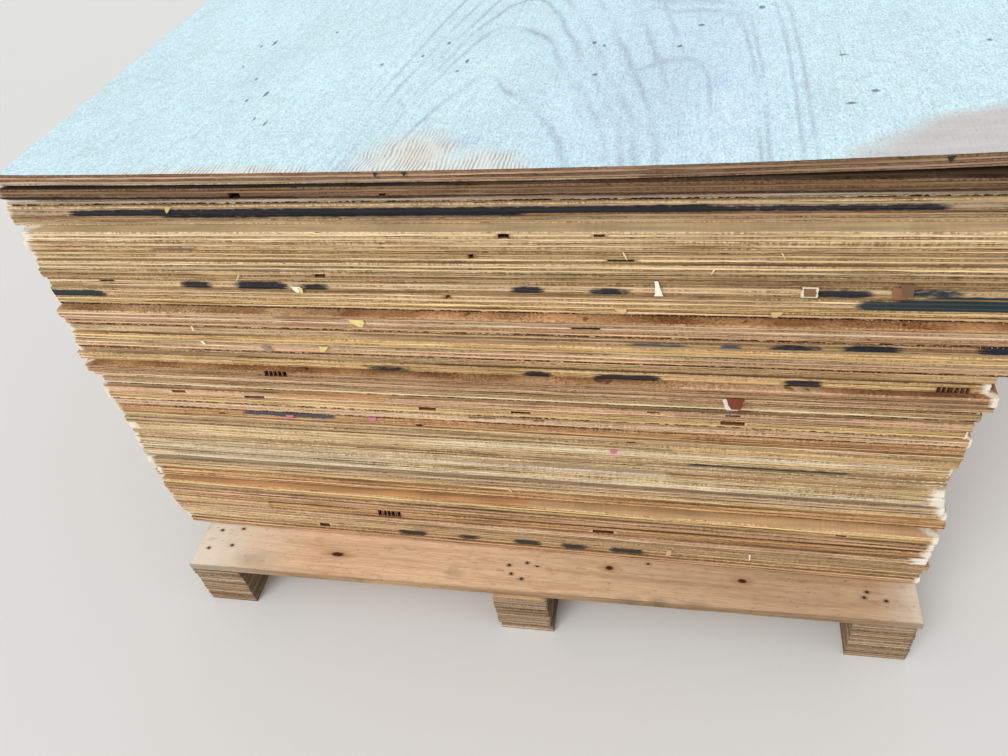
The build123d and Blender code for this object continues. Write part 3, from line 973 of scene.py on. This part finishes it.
    def faces(self):
        """Faces round the edge, then the underside and the top, as tuples of point numbers."""
        count, last = self.count, len(self.ply) - 1
        ring = np.arange(count)
        following = np.roll(ring, -1)
        made = []
        for k in range(last):
            low, high = k * count, (k + 1) * count
            made += list(zip(low + ring, low + following, high + following, high + ring))
        if not self.curled:
            return made, [tuple(range(count - 1, -1, -1))], [tuple(range(last * count, (last + 1) * count))]
        # A curled face is strips from front to back. The first and last take in the long edges' points.
        columns, side = self.sides[:2]
        behind = [2 * columns + side - k for k in range(columns + 1)]
        strips = [(k, k + 1, behind[k + 1], behind[k]) for k in range(1, columns - 1)]
        strips.append((0, 1, behind[1], *range(behind[0], count)))
        strips.append((*range(columns - 1, columns + side + 1), behind[columns - 1]))
        return made, [s[::-1] for s in strips], [tuple(last * count + k for k in s) for s in strips]

    def edge_colours(self):
        """Colour and material of each face round the edge. The first and last rings are the faces' rims."""
        colours, slots = [], []
        for k in range(len(self.ply) - 1):
            here = self.ply[k]
            across = (here % 2 == 0) == (self.side_of % 2 == 0)
            seam = self.glue[here] if here != self.ply[k + 1] else 1.0
            shade = self.plies[here] * seam ** np.array(WARMTH)
            rows = np.where(across[:, None], END_TONE * shade, LONG_TONE * shade)
            sawn = np.where(across, END_GRAIN, LONG_GRAIN)
            if k == 0:
                rows, sawn = self.plies[here], UNDERSIDE
            elif k == len(self.ply) - 2:
                rows, sawn = self.top, END_GRAIN if self.rough_rim else TOP
            colours.append(np.broadcast_to(rows, (self.count, 3)))
            slots.append(np.broadcast_to(sawn, self.count))
        return np.concatenate(colours), np.concatenate(slots)


def placed(name, mesh):
    piece = bpy.data.objects.new(name, mesh)
    bpy.context.scene.collection.objects.link(piece)
    return piece


def paint_layer(mesh, name, colours):
    layer = mesh.color_attributes.new(name, "FLOAT_COLOR", "CORNER")
    layer.data.foreach_set("color", colours.astype(np.float32).ravel())


def board_mesh(name, boards, materials):
    """One mesh of boards. Its faces' corners hold the wood's colour and height in plies, and the paint."""
    faces, bases, slots = [], [], []
    offset = 0
    for board in boards:
        edges, under, over = board.faces()
        base, sawn = board.edge_colours()
        bases.append(np.repeat(base, 4, 0))
        slots.append(sawn)
        for caps, slot, tint in ((under, UNDERSIDE, board.plies[0]), (over, TOP, board.top)):
            bases.append(np.tile(tint, (sum(len(cap) for cap in caps), 1)))
            slots.append(np.full(len(caps), slot))
        faces += [tuple(int(k) + offset for k in shape) for shape in (*edges, *under, *over)]
        offset += board.share.size
    mesh = bpy.data.meshes.new(name)
    mesh.from_pydata(np.concatenate([board.points() for board in boards]).tolist(), [], faces)
    for material in materials:
        mesh.materials.append(material)
    mesh.polygons.foreach_set("material_index", np.concatenate(slots).astype(np.int32))
    vertex = np.empty(len(mesh.loops), np.int32)
    mesh.loops.foreach_get("vertex_index", vertex)

    def at_corners(values):
        """Values of the rings' points, given to each face's corners."""
        rows = [value.reshape(board.share.size, -1) for value, board in zip(values, boards)]
        return np.concatenate(rows)[vertex]

    tone, cover = at_corners([board.tone for board in boards]), at_corners([board.cover for board in boards])
    shade = tamed(np.concatenate(bases) * tone ** np.array(WARMTH), brightest=0.93)
    shade = shade * (1 - cover) + at_corners([board.tint for board in boards]) * cover
    height = at_corners([board.level * len(board.plies) for board in boards])
    paint_layer(mesh, "wood", np.column_stack((shade, height)))
    paint_layer(mesh, "paint", at_corners([board.mark for board in boards]))
    mesh.update()
    return placed(name, mesh)


def dress(piece, slot, *replaced):
    """The piece rides on the one body and stands for CAD nodes, which are hidden. Its slot is not used."""
    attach(piece, BODY)
    if replaced:
        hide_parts(*replaced)


def tamed(colours, brightest):
    """Colours whose strongest part is over a limit are dimmed to it, and keep their hue."""
    return colours * np.minimum(1.0, brightest / np.maximum(colours.max(1, keepdims=True), 0.01))


def ply_colours(rng, wood, count):
    """One colour for each ply, about the sheet's own: now and then a ply is much darker or paler."""
    spread, jumps, odds, warm_spread = 0.09, [0.74, 1.0, 1.2], [0.2, 0.55, 0.25], 0.06
    lightness = np.exp(spread * rng.standard_normal((count, 1)))
    lightness *= rng.choice(jumps, (count, 1), p=odds)
    warmth = 1 + warm_spread * rng.uniform(-1, 1, (count, 1)) * np.array([[-1, 0, 1.4]])
    plies = np.array(wood)[None] * np.clip(lightness, 0.45, 1.45) ** np.array(WARMTH) * warmth
    return tamed(plies, brightest=0.85)


def sheet_gaps(number, rng):
    """Gaps in a sheet's front edge, in metres. A slatted gap is several that lean, with slats between."""
    gaps = []
    half_slat = 0.8 * MM
    for bottom, top, start, end, slats, deep in CORE_GAPS.get(number, ()):
        lean = 0.5 if slats else 0.0
        edges = np.linspace(start, end, slats + 2) * MM
        edges[1:-1] += rng.uniform(-SLAT_STRAY, SLAT_STRAY, slats) * MM
        for a, b in zip(edges[:-1], edges[1:]):
            gaps.append((bottom, top, a + half_slat, b - half_slat, deep * MM, lean))
    return gaps


def sheet_board(node, settings, rng):
    """Edge detail and colours of one sheet of the pile."""
    number = int(node[-2:])
    curled = node in CURLED
    torn = number in RAGGED
    low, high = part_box(node)
    corners = corners_of(node)
    width, depth = size_of(corners)
    thickness = SHEET_THICKNESS if curled else high.z - low.z
    underside = curled_underside(node) if curled else level_underside(low.z)
    coarse = steps(width, settings.edge_step)
    front = steps(width, settings.ragged_step) if torn else coarse
    gaps = sheet_gaps(number, rng)
    # The gaps need points close on both sides of their ends
    lips = np.array([-0.3, 0.1]) * MM
    for bottom, top, start, end, deep, lean in gaps:
        front = np.union1d(front, [*(start + lips), *(end - lips)])
    wood, rim, rough_rim = MARGINS.get(number, ("tan", settings.rim / MM, False))
    rings = edge_rings(settings.ply_count, thickness, settings.arris, rim * MM, settings.glue_line, torn)
    side = np.union1d(steps(depth, settings.side_step), np.array(CORNER_STEPS) * MM)
    board = Board(corners, thickness, underside, front, front if curled else coarse, side, rings)

    def tint(name):
        return np.array(getattr(settings, name))

    board.wear(rng, depth=1.0 * MM, swing=0.09)
    board.sway(rng, height=0.2 * MM)
    # Dark seams: grime and painted shade between the sheets
    board.seam_dirt_and_shade(rng, darkness=rng.uniform(0.35, 0.8))
    # Painted light: the front edges darken towards the right
    board.shade_towards_right(first=1.06, last=0.86)
    if number in MARGINS:
        # Painted shade, with grime, where the face runs under the next sheet
        board.margin(shade=0.7)
    for lowest, highest, start, end, name, cover in PLY_TONES.get(number, ()):
        board.tinge(lowest, highest, start * MM, end * MM, tint(name), cover)
    for bottom, top, start, end, name, cover in PAINT_MARKS.get(number, ()):
        board.paint(bottom, top, start * MM, end * MM, tint(name), cover)
    if torn:
        least = RAGGED[number] * MM
        board.tear(rng, least, drop=1.6 * MM, depth=0.4 * MM, shadow=tint("shadow"), fibre=tint("cream"))
    # Corners painted near white: bruised fibre and painted sunlight
    for right, reaches in ((False, BRUISED_AND_SUNLIT_LEFT), (True, BRUISED_AND_SUNLIT_RIGHT)):
        if number in reaches:
            board.crush(rng, right, reaches[number] * MM, 0.1 * reaches[number] * MM, tint("chalk"))
    for right, reach, deep in BROKEN.get(number, ()):
        board.crush(rng, right, reach * MM, deep * MM, tint("chalk"))
    for bottom, top, start, end, deep, lean in gaps:
        # A deep gap's inside is near black: painted shade
        inside, lip = ("filler", "cream") if deep < FILLED_DEPTH * MM else ("void", "void_rim")
        board.hollow(bottom, top, start, end, deep, tint(inside), tint(lip), lean)
    if not curled:
        board.thin()
    plies = ply_colours(rng, tint(EDGE_WOODS[number - 1]), settings.ply_count)
    return board.coat(plies, rng.uniform(0.3, 0.85, settings.ply_count), tint(wood), rough_rim, curled)


def sheet_materials(top):
    """A board's materials, in their order."""
    return [bpy.data.materials[name] for name in ("end_grain", "long_grain", "face_veneer", top)]


def sheet_piece(node, seed, top_material, slot):
    settings = bpy.context.scene.plywood_sheets
    board = sheet_board(node, settings, np.random.default_rng(seed))
    mesh = board_mesh(node.replace("sheet", "plywood"), [board], sheet_materials(top_material))
    dress(mesh, slot, node)


class FlatSheets(bpy.types.Operator):
    """Dress the flat sheets: worn plies, core gaps, paint and torn edges"""

    bl_idname = "plywood_stack.flat_sheets"
    bl_label = "Flat Sheets"

    first_seed = 101

    def execute(self, context):
        long_grain()
        end_grain()
        face_veneer()
        for place, node in enumerate(SHEETS[:-2]):
            sheet_piece(node, self.first_seed + place, "face_veneer", "sheet_wood")
        return {"FINISHED"}


class CurledSheets(bpy.types.Operator):
    """Dress the two curled sheets, and the bleached face of the top one, paler and bluer with painted sky
    light
    """

    bl_idname = "plywood_stack.curled_sheets"
    bl_label = "Curled Sheets"

    seeds = (147, 148)

    def execute(self, context):
        weathered_face(context.scene.plywood_sheets)
        second, top = CURLED
        sheet_piece(second, self.seeds[0], "face_veneer", "sheet_wood")
        sheet_piece(top, self.seeds[1], "weathered_face", "top_sheet_wood")
        return {"FINISHED"}


def plank(form, corners, base, thickness):
    """A board with level faces that lies on this height. Its form holds its edge detail, in mm."""
    width, depth = size_of(corners)
    rings = edge_rings(form.plies, thickness, form.arris * MM, form.rim * MM, form.glue_line * MM)
    front, side = steps(width, form.front_step * MM), steps(depth, form.side_step * MM)
    return Board(corners, thickness, level_underside(base), front, front, side, rings)


class CrossBoards(bpy.types.Operator):
    """Dress the cross boards: eased edges, grain and knots"""

    bl_idname = "plywood_stack.cross_boards"
    bl_label = "Cross Boards"

    first_seed = 200
    plies = 1
    arris, rim, glue_line, front_step, side_step = 1.2, 5, 0, 9, 7
    edge_tone, arris_tone = 0.62, 0.9

    def execute(self, context):
        pine = pine_board(context.scene.plywood_pallet)
        for number, node in enumerate(BOARDS):
            low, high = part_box(node)
            board = plank(self, corners_of(node), low.z, high.z - low.z)
            board.wear(np.random.default_rng(self.first_seed + number), depth=0.5 * MM, swing=0.04)
            board.tone[1:-1] *= self.edge_tone
            board.tone[-2] = self.arris_tone
            plain = np.ones((1, 3))
            board.coat(plain, [1.0], plain[0])
            dress(board_mesh(node.replace("deck", "pine"), [board], [pine] * 4), "deck_wood", node)
        return {"FINISHED"}


class Runners(bpy.types.Operator):
    """Dress the runners: glued plywood laminations with grey sides"""

    bl_idname = "plywood_stack.runners"
    bl_label = "Runners"

    first_seed = 300
    laminations, plies = 6, 5
    arris, rim, glue_line, front_step, side_step = 0.5, 4, 0.35, 6, 60
    grey_cover = 0.75

    def lamination(self, context, rng, corners, base, thickness):
        """One lamination of a runner, which lies on this height."""
        settings = context.scene.plywood_pallet
        board = plank(self, corners, base, thickness)
        board.wear(rng, depth=0.6 * MM, swing=0.09)
        # Dark seams: grime and painted shade between the laminations
        board.seam_dirt_and_shade(rng, darkness=0.4)
        # The long sides: weathered grey with painted shade
        long_sides = board.side_of % 2 == 1
        board.tint[:, long_sides] = np.array(settings.weathered_shaded_side)
        board.cover[:, long_sides] = self.grey_cover
        plies = ply_colours(rng, settings.runner, self.plies)
        top = np.array(context.scene.plywood_sheets.tan)
        return board.coat(plies, rng.uniform(0.3, 0.7, self.plies), top)

    def execute(self, context):
        for number, node in enumerate(RUNNERS):
            low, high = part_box(node)
            thickness = (high.z - low.z) / self.laminations
            rng = np.random.default_rng(self.first_seed + number)
            boards = []
            for layer in range(self.laminations):
                base = low.z + layer * thickness
                corners = outline_at(node, base + thickness / 2)
                boards.append(self.lamination(context, rng, corners, base, thickness))
            name = node.replace("runner", "laminated_runner")
            dress(board_mesh(name, boards, sheet_materials("face_veneer")), "runner_wood", node)
        return {"FINISHED"}


def geometry_tree(name, inputs):
    """A node tree with named number inputs, and its two ends."""
    tree = bpy.data.node_groups.new(name, "GeometryNodeTree")
    tree.interface.new_socket("Geometry", in_out="INPUT", socket_type="NodeSocketGeometry")
    tree.interface.new_socket("Geometry", in_out="OUTPUT", socket_type="NodeSocketGeometry")
    for label in inputs:
        tree.interface.new_socket(label, in_out="INPUT", socket_type="NodeSocketFloat")
    return tree, tree.nodes.new("NodeGroupInput"), tree.nodes.new("NodeGroupOutput")


def random_turn(tree, least, most, seed):
    inputs = {0: least, 1: most, "Seed": seed}
    return add_node(tree, "FunctionNodeRandomValue", inputs, data_type="FLOAT_VECTOR").outputs[0]


def realized(name, tree, ends, copies, material, points, edges, values):
    """Gives a tree's copies their material, runs it on these points and keeps the result as a mesh."""
    solid = add_node(tree, "GeometryNodeRealizeInstances", {"Geometry": copies.outputs[0]})
    finish = add_node(tree, "GeometryNodeSetMaterial", {"Geometry": solid.outputs[0], "Material": material})
    tree.links.new(finish.outputs[0], ends[1].inputs[0])
    mesh = bpy.data.meshes.new(name + "_seed")
    mesh.from_pydata(points, edges, [])
    seed = placed(name + "_seed", mesh)
    modifier = seed.modifiers.new(name, "NODES")
    modifier.node_group = tree
    for item in tree.interface.items_tree:
        if item.item_type == "SOCKET" and item.in_out == "INPUT" and item.name in values:
            modifier[item.identifier] = values[item.name]
    graph = bpy.context.evaluated_depsgraph_get()
    graph.update()
    made = bpy.data.meshes.new_from_object(seed.evaluated_get(graph))
    bpy.data.objects.remove(seed)
    made.name = name
    return placed(name, made)


def board_place(node, along, back, height):
    """A point on a cross board, from its front left corner."""
    corners = corners_of(node)
    first, right, _, behind = corners
    width, depth = size_of(corners)
    return (*(first + (right - first) / width * along + (behind - first) / depth * back), height)


class Nails(bpy.types.Operator):
    """Drive the nails of the front board: round heads, each tipped a little"""

    bl_idname = "plywood_stack.nails"
    bl_label = "Nails"

    sides = 14
    crown_share = 0.72
    tip = 0.16

    def execute(self, context):
        settings = context.scene.plywood_pallet
        values = {"Head radius": settings.head_radius, "Head height": settings.head_height}
        tree, *ends = geometry_tree("nail_heads", values)
        radius, height = (ends[0].outputs[label] for label in values)
        crown = add_node(tree, "ShaderNodeMath", {0: radius, 1: self.crown_share}, operation="MULTIPLY")
        head = add_node(tree, "GeometryNodeMeshCone", {
            "Vertices": self.sides, "Side Segments": 2, "Radius Top": crown.outputs[0],
            "Radius Bottom": radius, "Depth": height,
        })
        heads = add_node(tree, "GeometryNodeInstanceOnPoints", {
            "Points": ends[0].outputs["Geometry"], "Instance": head.outputs["Mesh"],
            "Rotation": random_turn(tree, (-self.tip, -self.tip, 0), (self.tip, self.tip, 3), 4),
        })
        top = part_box(BOARDS[0])[1].z - settings.head_height / 2
        points = [board_place(BOARDS[0], along * MM, back * MM, top) for along, back in NAILS]
        dress(realized("nail_heads", tree, ends, heads, nail_metal(), points, [], values), "nail_steel")
        return {"FINISHED"}


def front_place(node, along, share, proud):
    """A point on a sheet's front edge: along it from the left, up its thickness, and proud of it."""
    corners = corners_of(node)
    first, right, _, behind = corners
    width, depth = size_of(corners)
    under = np.interp(along / width, *end_profile(node, False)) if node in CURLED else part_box(node)[0].z
    flat = first + (right - first) / width * along - (behind - first) / depth * proud
    return (*flat, under + share * SHEET_THICKNESS)


class TornFibres(bpy.types.Operator):
    """Grow short splinters along the torn lower edges"""

    bl_idname = "plywood_stack.torn_fibres"
    bl_label = "Torn Fibres"

    tip_radius = 0.05
    # A cone stands along Z: turned by a quarter and a little more, it points forward and down
    least_turn, most_turn = (1.7, -0.5, 0), (2.9, 0.5, 3)
    least_size, most_size = 0.25, 1.3
    ends_from_left = (8, 1205)
    height_share, set_back = 0.06, 0.6

    def execute(self, context):
        settings = context.scene.plywood_sheets
        values = {"Spacing": settings.fibre_spacing, "Fibre length": settings.fibre_length,
                  "Fibre radius": settings.fibre_radius}
        tree, *ends = geometry_tree("torn_fibres", values)
        spacing, fibre_length, radius = (ends[0].outputs[label] for label in values)
        path = add_node(tree, "GeometryNodeMeshToCurve", {"Mesh": ends[0].outputs["Geometry"]})
        places = {"Curve": path.outputs[0], "Length": spacing}
        spots = add_node(tree, "GeometryNodeCurveToPoints", places, mode="LENGTH")
        sliver = add_node(tree, "GeometryNodeMeshCone", {
            "Vertices": 4, "Radius Top": self.tip_radius * MM, "Radius Bottom": radius, "Depth": fibre_length,
        })
        size = add_node(tree, "FunctionNodeRandomValue", {2: self.least_size, 3: self.most_size, "Seed": 12},
                        data_type="FLOAT")
        fibres = add_node(tree, "GeometryNodeInstanceOnPoints", {
            "Points": spots.outputs[0], "Instance": sliver.outputs["Mesh"], "Scale": size.outputs[1],
            "Rotation": random_turn(tree, self.least_turn, self.most_turn, 11),
        })
        points, edges = [], []
        for number in RAGGED:
            edges.append((len(points), len(points) + 1))
            points += [front_place(SHEETS[number - 1], along * MM, self.height_share, -self.set_back * MM)
                       for along in self.ends_from_left]
        wood = splinter_wood(settings)
        splinters = realized("torn_fibres", tree, ends, fibres, wood, points, edges, values)
        dress(splinters, "sheet_wood")
        return {"FINISHED"}


class Flakes(bpy.types.Operator):
    """Hang the torn flakes on the front edges: thin curled slips of veneer"""

    bl_idname = "plywood_stack.flakes"
    bl_label = "Flakes"

    rows = 5
    slip_thickness = 0.5

    def slip(self, rng, sheet, along, share, width, drop, lean, foot, proud):
        """Points of one slip, four to a row, from its root down: it narrows, leans and curls outwards."""
        for row in range(self.rows + 1):
            fall = row / self.rows
            half = width / 2 * (1 + (foot - 1) * fall ** 1.5) * MM
            shift = along * MM + math.tan(math.radians(lean)) * fall * drop * MM
            curl = (proud + 0.5 + 2.2 * fall * (1 - 0.4 * fall)) * MM
            for side, out in ((-1, 0.0), (1, 0.0), (1, self.slip_thickness), (-1, self.slip_thickness)):
                jag = rng.uniform(0.82, 1.12) if 0 < row else 1.0
                x, y, z = front_place(SHEETS[sheet - 1], shift + side * half * jag, share, curl + out * MM)
                yield x, y, z - fall * drop * MM

    def execute(self, context):
        settings = context.scene.plywood_sheets
        points, faces, tints = [], [], []
        rng = np.random.default_rng(400)
        for *form, tint in FLAKES:
            start, end = len(points), len(points) + 4 * self.rows
            points += self.slip(rng, *form)
            for a in range(start, end, 4):
                faces += [(a + k, a + 4 + k, a + 4 + (k + 1) % 4, a + (k + 1) % 4) for k in range(4)]
            faces += [(start, start + 1, start + 2, start + 3), (end + 3, end + 2, end + 1, end)]
            tints += [getattr(settings, tint)] * (4 * self.rows + 2)
        mesh = bpy.data.meshes.new("flakes")
        mesh.from_pydata(points, [], faces)
        mesh.materials.append(bpy.data.materials["face_veneer"])
        shades = np.repeat(np.array(tints), 4, 0)
        paint_layer(mesh, "wood", np.column_stack((shades, np.ones(len(shades)))))
        dress(placed("flakes", mesh), "sheet_wood")
        return {"FINISHED"}


class Stage(bpy.types.Operator):
    """Lay the floor, hang the soft lamp and place the camera"""

    bl_idname = "plywood_stack.stage"
    bl_label = "Stage"

    camera_place = (0.27372, -1.969043, 1.24514)
    camera_turn = (47.5154, 7.2332, 11.048)
    frame_width = 36.0
    nearest_seen = 0.02
    floor_reach = 30.0
    lamp_turn = (48, 0, -28)
    lamp_spread = 35

    def add_camera(self, scene, lens):
        camera = bpy.data.objects.new("camera", bpy.data.cameras.new("camera"))
        camera.location = self.camera_place
        camera.rotation_euler = [math.radians(angle) for angle in self.camera_turn]
        camera.data.lens = lens
        camera.data.sensor_width = self.frame_width
        camera.data.clip_start = self.nearest_seen
        scene.collection.objects.link(camera)
        scene.camera = camera

    def add_floor(self, tint):
        reach = self.floor_reach
        mesh = bpy.data.meshes.new("floor")
        corners = [(-reach, -reach, 0), (reach, -reach, 0), (reach, reach, 0), (-reach, reach, 0)]
        mesh.from_pydata(corners, [], [(0, 1, 2, 3)])
        mesh.materials.append(plain_floor(tint))
        placed("floor", mesh)

    def add_lamp(self, strength):
        lamp = bpy.data.lights.new("soft_lamp", "SUN")
        lamp.energy = strength
        lamp.angle = math.radians(self.lamp_spread)
        placed("soft_lamp", lamp).rotation_euler = [math.radians(angle) for angle in self.lamp_turn]

    def add_sky(self, scene, settings):
        """Even white light, behind which the camera and glossy surfaces see the pale backdrop."""
        scene.world = bpy.data.worlds.new("studio")
        scene.world.use_nodes = True
        tree = scene.world.node_tree
        light = tree.nodes["Background"]
        light.inputs["Color"].default_value = (1, 1, 1, 1)
        light.inputs["Strength"].default_value = settings.sky_light
        backdrop = add_node(tree, "ShaderNodeBackground", {"Color": (*settings.backdrop, 1), "Strength": 1.0})
        seen = add_node(tree, "ShaderNodeLightPath")
        rays = {0: seen.outputs["Is Camera Ray"], 1: seen.outputs["Is Glossy Ray"]}
        share = add_node(tree, "ShaderNodeMath", rays, operation="MAXIMUM")
        parts = {0: share.outputs[0], 1: light.outputs[0], 2: backdrop.outputs[0]}
        both = add_node(tree, "ShaderNodeMixShader", parts)
        tree.links.new(both.outputs[0], tree.nodes["World Output"].inputs[0])

    def execute(self, context):
        settings = context.scene.plywood_stage
        self.add_camera(context.scene, settings.lens)
        self.add_floor(settings.floor)
        self.add_lamp(settings.lamp_light)
        self.add_sky(context.scene, settings)
        context.scene.view_settings.view_transform = "Standard"
        return {"FINISHED"}


STEPS = (Stage, FlatSheets, CurledSheets, CrossBoards, Runners, Nails, TornFibres, Flakes)


class PlywoodPanel(bpy.types.Panel):
    """Lists the pieces of the pile"""

    bl_idname = "VIEW3D_PT_plywood_stack"
    bl_label = "Plywood Stack"
    bl_space_type = "VIEW_3D"
    bl_region_type = "UI"
    bl_category = "Plywood Stack"

    def draw(self, context):
        for step in STEPS:
            self.layout.operator(step.bl_idname)


CLASSES = (PlywoodSettings, PalletSettings, StageSettings, *STEPS, PlywoodPanel)


def register():
    for entry in CLASSES:
        bpy.utils.register_class(entry)
    bpy.types.Scene.plywood_sheets = bpy.props.PointerProperty(type=PlywoodSettings)
    bpy.types.Scene.plywood_pallet = bpy.props.PointerProperty(type=PalletSettings)
    bpy.types.Scene.plywood_stage = bpy.props.PointerProperty(type=StageSettings)


def unregister():
    del bpy.types.Scene.plywood_stage
    del bpy.types.Scene.plywood_pallet
    del bpy.types.Scene.plywood_sheets
    for entry in reversed(CLASSES):
        bpy.utils.unregister_class(entry)


def main():
    register()
    for step in STEPS:
        group, name = step.bl_idname.split(".")
        getattr(getattr(bpy.ops, group), name)()


if __name__ == "__main__":
    main()
